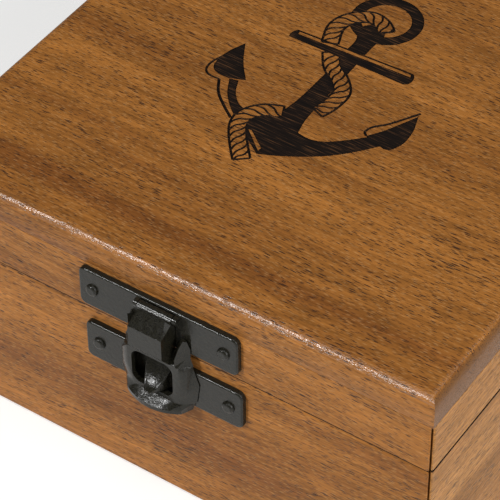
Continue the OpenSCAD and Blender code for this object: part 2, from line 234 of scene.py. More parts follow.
def stainedMahogany(name, turn=0, shift=(0, 0, 0), tilt=0, tones=None, endGrain=False, gloss=0.12,
                    sparkle=0.0, shine=(0.46, 0.32)):
    # Mahogany, planed, stained and sprayed with a thin satin lacquer: open pores stay visible
    # as short dark dashes along the grain, and the lacquer gives a soft, broken shine
    looks = woodLooks
    mat = newMaterial(name)
    tree = mat.node_tree
    place = addNode(tree, "TexCoord").outputs["Object"]
    turned = addNode(tree, "Mapping", i0=place, Location=[v * mm for v in shift],
                     Rotation=(0, math.radians(tilt), math.radians(turn))).outputs[0]
    waveLength, waveHeight = (v * mm for v in looks["wave"])
    wave = addNode(tree, "TexNoise", Vector=turned, Scale=1 / waveLength, Detail=1).outputs["Color"]
    centred = addNode(tree, "VectorMath", {"operation": "SUBTRACT"}, i0=wave, i1=(0.5, 0.5, 0.5)).outputs[0]
    bent = addNode(tree, "VectorMath", {"operation": "MULTIPLY_ADD"}, i0=centred,
                   i1=(0, waveHeight, waveHeight), i2=turned).outputs[0]

    def stretched(pattern):
        along, across = (1 / (v * mm) for v in looks[pattern])
        return addNode(tree, "Mapping", i0=bent, Scale=(along, across, across)).outputs[0]

    def cells(pattern):
        node = addNode(tree, "TexVoronoi", Vector=stretched(pattern), Scale=1, Randomness=1)
        return node.outputs["Distance"]

    bands = noise(tree, stretched("band"), 1, 3, 0.55)
    fibres = noise(tree, stretched("fibre"), 1, 2, 0.6)
    mottle = noise(tree, stretched("mottle"), 1, 2)
    base = ramp(tree, bands, list(zip(looks["toneStops"], tones or looks["tones"])))
    fibreTone = remap(tree, fibres, looks["fibreTone"])
    mottleTone = remap(tree, mottle, looks["mottleTone"])
    tone = calculate(tree, "MULTIPLY", i0=fibreTone, i1=mottleTone)
    toned = addNode(tree, "VectorMath", {"operation": "SCALE"}, i0=base, Scale=tone).outputs[0]

    # Pores come in drifts, so their cut-off follows a slower noise
    poreEdge = remap(tree, noise(tree, stretched("drift"), 1, 2), looks["driftEdge"])
    poreInner = calculate(tree, "MULTIPLY", i0=poreEdge, i1=0.5)
    pores = remap(tree, cells("pore"), (poreInner, poreEdge, 1, 0), "SMOOTHSTEP")
    # Pale flecks: painted glints, specks of light colour that stand in for the lacquer's sparkle
    paintedGlints = remap(tree, cells("fleck"), looks["fleckShare"], "SMOOTHSTEP")
    withPaintedGlints = blend(tree, paintedGlints, toned, linear(looks["fleckColour"]))
    fine = remap(tree, cells("fine"), looks["fineShare"], "SMOOTHSTEP")
    deep = calculate(tree, "MULTIPLY", i0=pores, i1=looks["poreStrength"])
    poreShare = calculate(tree, "MAXIMUM", i0=deep, i1=fine)
    colour = blend(tree, poreShare, withPaintedGlints, linear(looks["poreColour"]))

    if endGrain:
        normal = addNode(tree, "TexCoord").outputs["Normal"]
        facing = addNode(tree, "SeparateXYZ", i0=normal).outputs[0]
        sideways = calculate(tree, "ABSOLUTE", i0=facing)
        share = remap(tree, sideways, looks["endShare"], "SMOOTHSTEP")
        endDots = blend(tree, poreShare, linear(looks["endGrain"]), linear(looks["endPore"]))
        colour = blend(tree, share, colour, endDots)

    rough = remap(tree, fibres, (*looks["fibreShine"], *shine))
    height = calculate(tree, "SUBTRACT", i0=fibres, i1=poreShare)
    if sparkle:
        grit = noise(tree, place, 1 / (looks["grit"] * mm), 1)
        height = calculate(tree, "MULTIPLY_ADD", i0=grit, i1=sparkle, i2=height)
    surface(tree, height, looks["bumpStrength"], Base_Color=colour, Roughness=rough,
            IOR=looks["refraction"], Specular_IOR_Level=gloss)
    return mat


charLooks = {
    "streak": (7, 0.35),     # mm along and across the grain
    "turn": -4,
    "stops": [(0.3, "#0c0908"), (0.55, "#1c130e"), (0.72, "#5e3f26")],
    "roughness": 0.8,
    "gloss": 0.12,
    "bumpStrength": 0.5,
}


def charredWood():
    # Wood burnt by a laser: dull, brown-black, with the grain still showing as paler streaks
    looks = charLooks
    mat = newMaterial("charredEngraving")
    tree = mat.node_tree
    place = addNode(tree, "TexCoord").outputs["Object"]
    along, across = (1 / (v * mm) for v in looks["streak"])
    streaked = addNode(tree, "Mapping", i0=place, Rotation=(0, 0, math.radians(looks["turn"])),
                       Scale=(along, across, across)).outputs[0]
    streaks = noise(tree, streaked, 1, 3, 0.6)
    surface(tree, streaks, looks["bumpStrength"], Base_Color=ramp(tree, streaks, looks["stops"]),
            Roughness=looks["roughness"], Specular_IOR_Level=looks["gloss"])
    return mat


blackLooks = {
    "stops": [(0.35, "#12110d"), (0.75, "#2b2920")],     # the paler one where the lacquer is thin
    "peelSize": 0.9,         # mm between the swellings of the orange peel
    "gritSize": 0.22,
    "gritShare": 0.4,
    "castRoughness": 0.2,
    "steelRoughness": 0.26,
    "spread": (0.75, 1.35),  # how far the roughness goes down and up
    "gloss": 0.27,
    "bumpStrength": 0.8,
    "refraction": 1.5,
}


def blackLacquer(name, roughness):
    # Die-cast zinc or pressed steel under black stoving lacquer: glossy, a little uneven like
    # orange peel, so that bright edges break up into sparkles
    looks = blackLooks
    mat = newMaterial(name)
    tree = mat.node_tree
    place = addNode(tree, "TexCoord").outputs["Object"]
    peel = noise(tree, place, 1 / (looks["peelSize"] * mm), 2)
    grit = noise(tree, place, 1 / (looks["gritSize"] * mm), 2)
    height = calculate(tree, "MULTIPLY_ADD", i0=grit, i1=looks["gritShare"], i2=peel)
    down, up = looks["spread"]
    rough = remap(tree, peel, (0.3, 0.7, roughness * down, roughness * up))
    surface(tree, height, looks["bumpStrength"], Base_Color=ramp(tree, grit, looks["stops"]),
            Roughness=rough, IOR=looks["refraction"], Specular_IOR_Level=looks["gloss"])
    return mat


print("materials")
# Lighter tones for the side boards and side rails: partly paler wood, partly painted light that makes the
# right side brighter than the front and top
sideTonesWithPaintedLight = ("#90602a", "#a8733a", "#b98246")
acrossWood = stainedMahogany("stainedMahoganyFront", shift=(11, 3, 7), tilt=3)
backWood = stainedMahogany("stainedMahoganyBack", shift=(70, 33, 17))
rightWood = stainedMahogany("stainedMahoganyRight", turn=90, shift=(31, 23, 41), tones=sideTonesWithPaintedLight)
leftWood = stainedMahogany("stainedMahoganyLeft", turn=90, shift=(131, 63, 21))
railWood = stainedMahogany("stainedMahoganyRail", shift=(53, 47, 5), tilt=-3)
railSideWood = stainedMahogany("stainedMahoganySideRail", turn=90, shift=(23, 73, 29), tones=sideTonesWithPaintedLight)
panelWood = stainedMahogany("stainedMahoganyPanel", shift=(17, 91, 3), endGrain=True)
bottomWood = stainedMahogany("stainedMahoganyBottom", shift=(5, 9, 33))
# Used for the burnt engraving, and as painted shade on the outer strip of the faces at the seam
charredAndPaintedShade = charredWood()
edgeWood = stainedMahogany("lacqueredRoundOver", shift=(17, 91, 3), gloss=0.6, sparkle=1.9,
                           shine=(0.34, 0.22))
blackLatch = blackLacquer("blackLacqueredZinc", blackLooks["castRoughness"])
blackSteel = blackLacquer("blackLacqueredSteel", blackLooks["steelRoughness"])


# Boards, mitred at both ends
plainFace, burntAndPaintedShadeFace, edgeFace = 0, 1, 2      # numbers of the materials on a piece's faces
boardSizes = {
    "cornerRound": 0.9,
    "mitreEase": 0.04,      # on the rim alone
    "edgeEase": 0.14,       # every other arris is sanded a little, which draws the joints as fine lines
    "letIn": 3.6,           # how far the bottom panel is let into the body's boards
    "darkStrip": 0.9,       # how far the painted shade of the seam's gap reaches in from the outer faces, on the edges at the seam
}


def atMitre(centre, way):
    outer = halfWidth - boardSizes["cornerRound"] * mm
    return abs(way.z) > 0.9 and abs(centre.x) > outer and abs(centre.y) > outer


def easeArrises(board, ease, test):
    pick(board)
    bpy.ops.object.mode_set(mode="EDIT")
    bpy.ops.mesh.select_mode(type="EDGE")
    bpy.ops.mesh.select_all(action="DESELECT")
    bpy.ops.mesh.edges_select_sharp(sharpness=math.radians(32))
    bpy.ops.object.mode_set(mode="OBJECT")
    corners = board.data.vertices
    for edge in board.data.edges:
        a, b = (corners[i].co for i in edge.vertices)
        edge.select = edge.select and test((a + b) / 2, (b - a).normalized())
    bpy.ops.object.mode_set(mode="EDIT")
    bpy.ops.mesh.bevel(offset=ease * mm, segments=2, profile=0.5)
    bpy.ops.object.mode_set(mode="OBJECT")


def mitredBoard(name, node, body, wood, turn, low, high, rebate=0.0):
    outer = halfDepth
    thin = wall - boardSizes["letIn"] * mm
    board = addCube(name, Vector((-halfWidth, -outer, low)), Vector((halfWidth, -outer + thin, high)))
    selectWhere(board, "edges", lambda c, d: near(c.y, -outer) and abs(d.z) > 0.9)
    bpy.ops.mesh.bevel(offset=boardSizes["cornerRound"] * mm, segments=5, profile=0.5)
    if rebate:
        bpy.ops.mesh.select_all(action="SELECT")
        bpy.ops.mesh.bisect(plane_co=(0, 0, low + rebate), plane_no=(0, 0, 1))
    selectWhere(board, "polygons", lambda c, d: near(c.y, -outer + thin) and d.y > 0.9 and c.z > low + rebate)
    bpy.ops.mesh.extrude_region_move(TRANSFORM_OT_translate={"value": (0, wall - thin, 0)})
    strip = boardSizes["darkStrip"] * mm
    bpy.ops.mesh.select_all(action="SELECT")
    bpy.ops.mesh.bisect(plane_co=(0, strip - outer, 0), plane_no=(0, 1, 0))
    for side in (-1, 1):
        bpy.ops.mesh.select_all(action="SELECT")
        bpy.ops.mesh.bisect(plane_co=(side * halfWidth, -outer, 0), plane_no=(side, 1, 0),
                            use_fill=True, clear_outer=True)
    bpy.ops.object.mode_set(mode="OBJECT")
    board.data.transform(Matrix.Rotation(math.radians(turn), 4, "Z"))
    easeArrises(board, boardSizes["edgeEase"], lambda c, d: not atMitre(c, d))
    if low > 0:
        easeArrises(board, boardSizes["mitreEase"], atMitre)
    cleanUp(board, 20, weighted=False)
    giveMaterials(board, wood, charredAndPaintedShade)
    # The outer strip of the faces at the seam gets the charred material: painted shade of the gap between lid
    # and box
    seam = boxHigh.z if low == 0 else low
    for face in board.data.polygons:
        atSeam = abs(face.center.z - seam) < boardSizes["edgeEase"] * mm
        outside = max(abs(face.center.x), abs(face.center.y)) > outer - strip
        face.material_index = burntAndPaintedShadeFace if atSeam and outside else plainFace
    settle(board, body, "wood", node)


print("boards")
bodyBoards = [
    ("frontBoard", "body_front", acrossWood, 0),
    ("rightBoard", "body_right", rightWood, 90),
    ("backBoard", "body_back", backWood, 180),
    ("leftBoard", "body_left", leftWood, 270),
]
for name, node, wood, turn in bodyBoards:
    mitredBoard(name, node, "box", wood, turn, 0, boxHigh.z, bottomHigh.z)
rails = [
    ("frontRail", "lid_front_rail", railWood, 0),
    ("rightRail", "lid_right_rail", railSideWood, 90),
    ("backRail", "lid_back_rail", railWood, 180),
    ("leftRail", "lid_left_rail", railSideWood, 270),
]
railLow, railHigh = nodeBox("lid_front_rail")
for name, node, wood, turn in rails:
    mitredBoard(name, node, "lid", wood, turn, railLow.z, railHigh.z)

bottomEase = 0.3
bottomPanel = addCube("bottomPanel", bottomLow, bottomHigh)
applyModifier(bottomPanel, "BEVEL", width=bottomEase * mm, segments=2, limit_method="ANGLE")
cleanUp(bottomPanel)
giveMaterials(bottomPanel, bottomWood)
settle(bottomPanel, "box", "wood", "body_bottom")


# The lid's top panel
panelSizes = {
    "cornerRound": 0.9,
    "roundOver": 2.4,
    "steps": 9,
    "lowerEase": 0.14,
    "square": 5.3,          # the top is cut into squares, so that the carving meets small faces only
    "squares": 8,           # on each side of the middle
}


def makePanel():
    sizes = panelSizes
    panel = addCube("lidPanel", panelLow, panelHigh)
    selectWhere(panel, "edges", lambda c, d: near(c.z, panelTop) and abs(d.z) < 0.1)
    bpy.ops.mesh.bevel(offset=sizes["roundOver"] * mm, segments=sizes["steps"], profile=0.5)
    selectWhere(panel, "edges", lambda c, d: near(abs(d.x), abs(d.y), 0.01)
                and near(halfWidth - abs(c.x), halfDepth - abs(c.y)) and c.z < panelTop - 0.05 * mm)
    bpy.ops.mesh.bevel(offset=sizes["cornerRound"] * mm, segments=4, profile=0.5)
    selectWhere(panel, "edges", lambda c, d: near(c.z, panelLow.z) and abs(d.z) < 0.1)
    bpy.ops.mesh.bevel(offset=sizes["lowerEase"] * mm, segments=2, profile=0.5)
    for axis in ((1, 0, 0), (0, 1, 0)):
        for i in range(-sizes["squares"], sizes["squares"] + 1):
            selectWhere(panel, "polygons", lambda c, d: d.z > 0.999 and near(c.z, panelTop))
            bpy.ops.mesh.bisect(plane_co=[i * sizes["square"] * mm * a for a in axis], plane_no=axis)
    bpy.ops.object.mode_set(mode="OBJECT")
    return panel


# A rope-wound anchor is burnt into the panel. Places are in mm from the middle of the lid;
# a third value of 1 makes a point a sharp corner, the others are rounded.
anchorIron = {
    "stock": [(-18.4, 11.1, 1), (10.8, 11.0, 1), (11.7, 11.9), (11.6, 14.2), (10.9, 15.1, 1),
              (-17.8, 14.05, 1), (-18.5, 12.7)],
    "leftFluke": [(-24.8, 3.9, 1), (-26.5, -0.9), (-26.7, -4.6), (-25.9, -6.7), (-24.2, -7.6),
                  (-21.5, -7.7, 1), (-17.8, -6.3, 1), (-21.6, -1.6)],
    "rightFluke": [(18.9, 4.0, 1), (20.6, -2.0), (20.2, -6.6), (18.6, -8.6), (16.2, -8.0, 1),
                   (12.9, -7.3, 1), (13.4, -6.5, 1), (15.3, -3.6, 1)],
    "arms": [(-21.1, -7.8, 1), (-18.6, -12.2), (-14.2, -16.6), (-8.6, -20.6), (-3.0, -24.4, 1),
             (1.8, -22.1), (9.4, -17.0), (13.4, -13.0), (17.2, -8.2, 1), (13.4, -7.3, 1),
             (9.3, -11.4), (6.4, -13.6), (3.6, -14.5), (0.6, -14.2, 1), (-0.2, -10.5),
             (-0.5, -6.0), (-0.7, 4.0), (-1.0, 12.2, 1),
             (-4.8, 12.2, 1), (-5.0, 4.0), (-5.3, -6.0), (-6.0, -10.4, 1), (-9.6, -13.6), (-13.2, -14.0),
             (-16.9, -11.4), (-19.1, -7.2, 1)],
    "eye": [(-5.4, 14.4, 1), (-5.5, 18.0), (-6.6, 20.6), (-6.4, 23.2), (-3.8, 24.4), (-1.2, 23.0),
            (-1.0, 20.2), (-1.1, 18.0), (-1.1, 14.7, 1)],
}
anchorLights = {         # islands of plain wood that stay inside the burnt shapes
    "stockLight": [(-17.0, 12.85, 1), (-17.1, 13.6, 1), (10.5, 14.62, 1), (10.8, 13.85, 1)],
    "crownLight": [(-8.6, -19.0, 1), (-7.9, -18.9, 1), (-3.2, -22.4, 1), (-3.3, -23.4, 1)],
}
anchorStrokes = {        # half the width of each line, and its places
    "leftFlukeEdge": (0.28, [(-26.5, -2.3), (-27.4, -5.9), (-26.6, -8.4), (-24.8, -9.1), (-22.9, -9.0)]),
    "leftArmEdge": (0.34, [(-22.9, -9.0), (-20.6, -12.6), (-17.4, -15.4), (-13.8, -18.0)]),
    "rightFlukeEdge": (0.3, [(12.9, -7.2), (12.0, -6.1), (15.1, -1.2), (18.8, 5.0)]),
}
anchorRing = {"middle": (-3.3, 27.1), "outer": 8.2, "inner": 5.5}
ropeLooks = {
    "width": 3.7,
    "line": 0.28,           # half the width of the outline
    "strand": 0.25,         # and of the lines between strands
    "pitch": 2.2,
    "lean": 3.5,            # how far a strand runs along the rope from side to side
    "step": 0.5,            # from place to place along the rope
}
ropeRuns = {
    "ropeTop": [(-9.6, 14.0), (-11.4, 19.4), (-10.2, 23.6), (-6.8, 26.3), (-3.4, 25.6), (-1.0, 23.4)],
    "ropeMiddle": [(-7.8, 11.6), (-4.9, 7.6), (-1.3, 4.9), (1.3, 1.6), (1.4, -2.4), (0.9, -4.9), (0.2, -6.8)],
    "ropeTail": [(-5.6, -10.4), (-9.4, -12.2), (-11.6, -15.4), (-11.4, -18.6), (-9.0, -22.4), (-4.6, -27.6)],
}
carving = {
    "depth": 0.24,          # mm below the panel's face
    "reach": 0.6,           # and above it
    "spare": 0.5,           # how much deeper the shapes are that cut other shapes
    "field": (35, 45),      # half sizes of the part of the lid that holds the anchor
    "burnt": (0.004, 1),    # faces this far below the top are burnt
}


def curvePiece(name, points, closed, **settings):
    # A curve in mm through the points, turned into a mesh
    data = bpy.data.curves.new(name, "CURVE")
    data.dimensions = "2D" if closed else "3D"
    data.resolution_u = 5
    for key, value in settings.items():
        setattr(data, key, value)
    spline = data.splines.new("BEZIER")
    spline.bezier_points.add(len(points) - 1)
    for handle, point in zip(spline.bezier_points, points):
        handle.co = (point[0], point[1], 0)
        handle.handle_left_type = handle.handle_right_type = "VECTOR" if len(point) > 2 else "AUTO"
    spline.use_cyclic_u = closed
    obj = bpy.data.objects.new(name, data)
    bpy.context.scene.collection.objects.link(obj)
    pick(obj)
    bpy.ops.object.convert(target="MESH")
    obj = bpy.context.active_object
    bpy.ops.object.mode_set(mode="EDIT")
    bpy.ops.mesh.select_all(action="SELECT")
    bpy.ops.mesh.remove_doubles(threshold=0.001)
    bpy.ops.mesh.normals_make_consistent(inside=False)
    bpy.ops.object.mode_set(mode="OBJECT")
    return obj


def flatShape(name, points, rise=0.0):
    low = -carving["depth"] - rise
    half = (carving["reach"] - low) / 2
    shape = curvePiece(name, points, True, fill_mode="BOTH", extrude=half)
    shape.data.transform(Matrix.Translation((0, 0, low + half)))
    return shape


def groove(name, points, radius):
    return curvePiece(name, points, False, bevel_depth=radius, bevel_resolution=1, use_fill_caps=True)


def cutWith(target, cutter, keep=False):
    pick(target)
    before = len(target.data.polygons)
    for solver in ("MANIFOLD", "EXACT"):
        made = target.modifiers.new("carve", "BOOLEAN")
        made.operation = "DIFFERENCE"
        made.solver = solver
        made.object = cutter
        bpy.ops.object.modifier_apply(modifier=made.name)
        if len(target.data.polygons) != before:
            break
    if not keep:
        bpy.data.objects.remove(cutter)


def circlePoints(middle, radius):
    count = 12
    return [(middle[0] + radius * math.cos(2 * math.pi * i / count),
             middle[1] + radius * math.sin(2 * math.pi * i / count)) for i in range(count)]


def alongCurve(points, step):
    # Evenly spaced places on a smooth line through the points, each with its direction
    fine = []
    parts = 20
    for i in range(len(points) - 1):
        a, b = Vector(points[i]), Vector(points[i + 1])
        before = Vector(points[i - 1]) if i else a - (b - a)
        after = Vector(points[i + 2]) if i + 2 < len(points) else b + (b - a)
        for k in range(parts):
            t = k / parts
            fine.append(0.5 * (2 * a + (b - before) * t + (2 * before - 5 * a + 4 * b - after) * t * t
                               + (3 * a - before - 3 * b + after) * t ** 3))
    fine.append(Vector(points[-1]))
    places, gone = [], 0.0
    for a, b in zip(fine, fine[1:]):
        run = (b - a).length
        while gone <= run:
            places.append((a + (b - a) * (gone / run), (b - a).normalized()))
            gone += step
        gone -= run
    return places


def ropeShape(name, points):
    # The rope's own band, and the grooves of its outline and its strands
    looks = ropeLooks
    half = looks["width"] / 2
    places = alongCurve(points, looks["step"])
    left = [(p.x - d.y * half, p.y + d.x * half) for p, d in places]
    right = [(p.x + d.y * half, p.y - d.x * half) for p, d in places]
    band = flatShape(name, [(x, y, 1) for x, y in left + right[::-1]], rise=carving["spare"])
    grooves = [groove(name + "Left", left[:-1:3] + left[-1:], looks["line"]),
               groove(name + "Right", right[:-1:3] + right[-1:], looks["line"])]
    ahead = round(looks["lean"] / looks["step"])
    step = round(looks["pitch"] / looks["step"])
    last = len(places) - 1
    for i in range(0, last - 1, step):
        a, da = places[i]
        b, db = places[min(i + ahead // 2, last)]
        c, dc = places[min(i + ahead, last)]
        start = Vector((a.x - da.y * half, a.y + da.x * half))
        end = Vector((c.x + dc.y * half, c.y - dc.x * half))
        grooves.append(groove(name + "Strand", [start, b + (start - b) * 0.4 + db * 0.3,
                                                b + (end - b) * 0.4 - db * 0.3, end], looks["strand"]))
    for end in (0, -1):
        grooves.append(groove(name + "End", [left[end], right[end]], looks["line"]))
    return band, grooves


def carveAnchor(panel):
    toMm = Matrix.Scale(1 / mm, 4) @ Matrix.Translation((0, 0, -panelTop))
    panel.data.transform(toMm)
    cutters = [flatShape(name, points) for name, points in anchorIron.items()]
    ring = flatShape("ring", circlePoints(anchorRing["middle"], anchorRing["outer"]))
    hole = circlePoints(anchorRing["middle"], anchorRing["inner"])
    cutWith(ring, flatShape("ringHole", hole, rise=carving["spare"]))
    cutters.append(ring)
    lights = [flatShape(name, points, rise=carving["spare"]) for name, points in anchorLights.items()]
    bands, grooves = [], []
    for name, points in ropeRuns.items():
        band, lines = ropeShape(name, points)
        bands.append(band)
        grooves += lines
    for cutter in cutters:
        for light in lights:
            cutWith(cutter, light, keep=True)
        for band in bands:
            if not cutter.name.startswith("stock"):      # the ropes pass behind the stock
                cutWith(cutter, band, keep=True)
        cutWith(panel, cutter)
    for shape in bands + lights:
        bpy.data.objects.remove(shape)
    for name, (radius, points) in anchorStrokes.items():
        grooves.append(groove(name, points, radius))
    for line in grooves:
        cutWith(panel, line)
    panel.data.transform(toMm.inverted())


panel = makePanel()
carveAnchor(panel)
cleanUp(panel, weighted=False)
for face in panel.data.polygons:
    if abs(face.normal.z) > 0.9995:
        face.use_smooth = False      # the carving's small corners must not bend the light on the flat top
giveMaterials(panel, panelWood, charredAndPaintedShade, edgeWood)
fieldWidth, fieldDepth = carving["field"]
shallow, deep = carving["burnt"]
for face in panel.data.polygons:
    sunk = panelTop - face.center.z
    inside = abs(face.center.x) < fieldWidth * mm and abs(face.center.y) < fieldDepth * mm
    face.material_index = burntAndPaintedShadeFace if inside and shallow * mm < sunk < deep * mm else plainFace
    if not inside and 0.4 < face.normal.z < 0.97 and abs(face.normal.x) < 0.5:
        face.material_index = edgeFace      # the round-over at the front and the back
settle(panel, "lid", "carved_wood", "lid_panel")
print("panel faces", len(panel.data.polygons))


# The latch's pin and the hinges keep the frame's shape, with eased edges
def easedCopy(name, node, slot, ease):
    source = frame["nodes"][node]
    piece = bpy.data.objects.new(name, source.data.copy())
    bpy.context.scene.collection.objects.link(piece)
    pick(piece)
    bpy.ops.object.mode_set(mode="EDIT")
    bpy.ops.mesh.select_all(action="SELECT")
    bpy.ops.mesh.remove_doubles(threshold=0.004 * mm)
    bpy.ops.mesh.dissolve_limited(angle_limit=math.radians(1.5))
    bpy.ops.object.mode_set(mode="OBJECT")
    applyModifier(piece, "BEVEL", width=ease * mm, segments=2, limit_method="ANGLE",
                  angle_limit=math.radians(24), use_clamp_overlap=True)
    giveMaterials(piece, blackSteel)
    cleanUp(piece, 40)
    settle(piece, bodyOf[node], slot, node)


print("metal")
bodyOf = {n: b for b, names in frame["record"]["behaviour"]["bodies"].items() for n in names}
nailSizes = {
    "headRadius": 1.45,
    "headHeight": 0.75,
    "domeRound": 0.7,
    "shank": 0.65,
    "length": 6,
    "point": 1.6,           # length of the point
    "pointShare": 0.08,     # of the shank that is left at its end
    "sides": 40,
}
plateSizes = {
    "height": 10.2,
    "cornerRound": 1.6,
    "edgeRound": 0.5,
    "steps": 5,
    "thick": 1.3,
    "nailHole": 0.7,
    "holeMiddle": 0.5,
    "holeLength": 4,
}
pinPlace = {"out": 1.9, "height": 54.6, "middle": 0.4, "trough": 1.2}
lugSizes = {"round": 0.95, "inner": 4.3, "thick": 0.9, "sunk": 0.3}
noseSizes = {
    "width": 6.6,
    "root": 6.6,            # height where it leaves the plate
    "under": 34.3,          # height of its underside
    "out": 6.4,
    "sunk": 0.4,            # it starts this far out, inside the plate
    "tipWidth": 1.5,
    "tipHeight": 0.75,
    "steps": 9,
    "hollow": 0.55,         # how far the ramp and the flanks are drawn in
    "rampBend": 1.7,
    "flankBend": 1.2,
    "rise": 0.3,            # of the underside, from the plate to the tip
    "edgeRound": 0.16,
}


def frontPlace(x, out, height):
    return Vector((x * mm, -halfDepth - out * mm, height * mm))


def joinWith(target, other):
    pick(target)
    made = target.modifiers.new("weld", "BOOLEAN")
    made.operation = "UNION"
    made.solver = "EXACT"
    made.object = other
    bpy.ops.object.modifier_apply(modifier=made.name)
    bpy.data.objects.remove(other)


def makeRod(name, x, out, height, radius, length, turn):
    bpy.ops.object.select_all(action="DESELECT")
    bpy.ops.mesh.primitive_cylinder_add(vertices=48, radius=radius * mm, depth=length * mm,
                                        rotation=turn, location=frontPlace(x, out, height))
    rod = bpy.context.active_object
    rod.name = name
    bpy.ops.object.transform_apply(location=True, rotation=True, scale=True)
    return rod


def makePlate(name, node):
    sizes = plateSizes
    low, high = nodeBox(node)
    nailLow, nailHigh = nodeBox(node.replace("plate", "nails"))
    high.z = low.z + sizes["height"] * mm
    face = -halfDepth - sizes["thick"] * mm
    plate = addCube(name, Vector((low.x, face, low.z)), Vector((high.x, -halfDepth, high.z)))
    selectWhere(plate, "edges", lambda c, d: abs(d.y) > 0.9)
    bpy.ops.mesh.bevel(offset=sizes["cornerRound"] * mm, segments=8, profile=0.5)
    selectWhere(plate, "edges", lambda c, d: near(c.y, face) and abs(d.y) < 0.1)
    bpy.ops.mesh.bevel(offset=sizes["edgeRound"] * mm, segments=sizes["steps"], profile=0.5)
    bpy.ops.object.mode_set(mode="OBJECT")
    reach = nailSizes["headRadius"] * mm
    nailHeight = (nailLow.z + nailHigh.z) / 2 / mm
    for x in (nailLow.x + reach, nailHigh.x - reach):
        hole = makeRod("nailHole", x / mm, sizes["holeMiddle"], nailHeight, sizes["nailHole"],
                       sizes["holeLength"], (math.radians(90), 0, 0))
        cutWith(plate, hole)
    return plate


def finishLatch(piece, body, node, angle):
    cleanUp(piece, angle)
    giveMaterials(piece, blackLatch)
    settle(piece, body, "black_latch", node)


def makeUpperPlate():
    plate = makePlate("upperPlate", "latch_upper_plate")
    across = (0, math.radians(90), 0)
    pin, lug = pinPlace, lugSizes
    cutWith(plate, makeRod("trough", pin["middle"], pin["out"], pin["height"], pin["trough"],
                           2 * lug["inner"], across))
    for side in (-1, 1):
        middle = pin["middle"] + side * (lug["inner"] + lug["thick"] / 2)
        low = frontPlace(middle - lug["thick"] / 2, pin["out"], pin["height"] - lug["round"])
        high = frontPlace(middle + lug["thick"] / 2, lug["sunk"], pin["height"] + lug["round"])
        block = addCube("lug", low, high)
        joinWith(block, makeRod("lugEnd", middle, pin["out"], pin["height"], lug["round"],
                                lug["thick"], across))
        joinWith(plate, block)
    finishLatch(plate, "lid", "latch_upper_plate", 40)


def makeNose():
    # A hook that runs out from the plate in a hollow ramp to a blunt tip
    sizes = noseSizes
    middle = pinPlace["middle"]
    root, tip = sizes["sunk"], sizes["out"]
    half = sizes["width"] / 2
    nose = addCube("nose", frontPlace(middle - half, tip, sizes["under"]),
                   frontPlace(middle + half, root, sizes["under"] + sizes["root"]))
    bpy.ops.object.mode_set(mode="EDIT")
    for k in range(1, sizes["steps"]):
        for axis, start, end in (("y", root, tip), ("x", -half, half)):
            at = start + (end - start) * k / sizes["steps"]
            place = frontPlace(0, at, 0) if axis == "y" else Vector(((middle + at) * mm, 0, 0))
            bpy.ops.mesh.select_all(action="SELECT")
            way = (0, 1, 0) if axis == "y" else (1, 0, 0)
            bpy.ops.mesh.bisect(plane_co=place, plane_no=way)
    bpy.ops.object.mode_set(mode="OBJECT")
    for vert in nose.data.vertices:
        out = -(vert.co.y + halfDepth) / mm
        share = max(0, (out - plateSizes["thick"]) / (tip - plateSizes["thick"]))
        drawn = (1 - share) ** sizes["rampBend"]            # hollow, seen from the side
        high = sizes["tipHeight"] + (sizes["root"] - sizes["tipHeight"]) * drawn
        flank = 1 - share ** sizes["flankBend"]
        wide = sizes["tipWidth"] + (sizes["width"] - sizes["tipWidth"]) * flank
        across = (vert.co.x / mm - middle) / half
        up = (vert.co.z / mm - sizes["under"]) / sizes["root"]
        scoop = sizes["hollow"] * (1 - across * across) * (1 - share) * up
        vert.co.x = (middle + across * wide / 2) * mm
        lift = sizes["rise"] * share * (1 - up)
        vert.co.z = (sizes["under"] + lift + high * up - scoop) * mm
    applyModifier(nose, "BEVEL", width=sizes["edgeRound"] * mm, segments=2, limit_method="ANGLE",
                  angle_limit=math.radians(50))
    return nose


def makeLowerPlate():
    plate = makePlate("lowerPlate", "latch_lower_plate")
    joinWith(plate, makeNose())
    finishLatch(plate, "box", "latch_lower_plate", 50)


tongueSizes = {
    "middle": 0.4,
    "window": ((-4.9, 5.3), (33.9, 42.9)),   # widened to its rounded corners
    "windowRound": 2.2,
    "windowReach": (2.0, 8),
    "face": 4.0,
    "flank": (5.4, 7.6),    # how far from the middle the long edges of the face lie
    "flankHeight": (33, 43.3),
    "flankRound": 1.5,
    "root": 32.7,           # height where the finger lip starts
    "lipHollow": 1.2,
    "rim": (6.3, 31.2),     # the lip's corners are beyond this and below this
    "rimRound": 1.6,
    "cornerFrom": 7.6,
    "cornerPull": 0.75,
    "cornerBelow": 30.6,    # above this the corners are pulled in less
    "cornerShare": 0.45,
    "strip": ((2.15, 55.6), (3.0, 54.2)),
    "stripBack": 1.9,
    "stripWay": (0, -0.64, 0.77),
    "hoodWidth": 8.2,
    "edgeRound": 0.22,
}


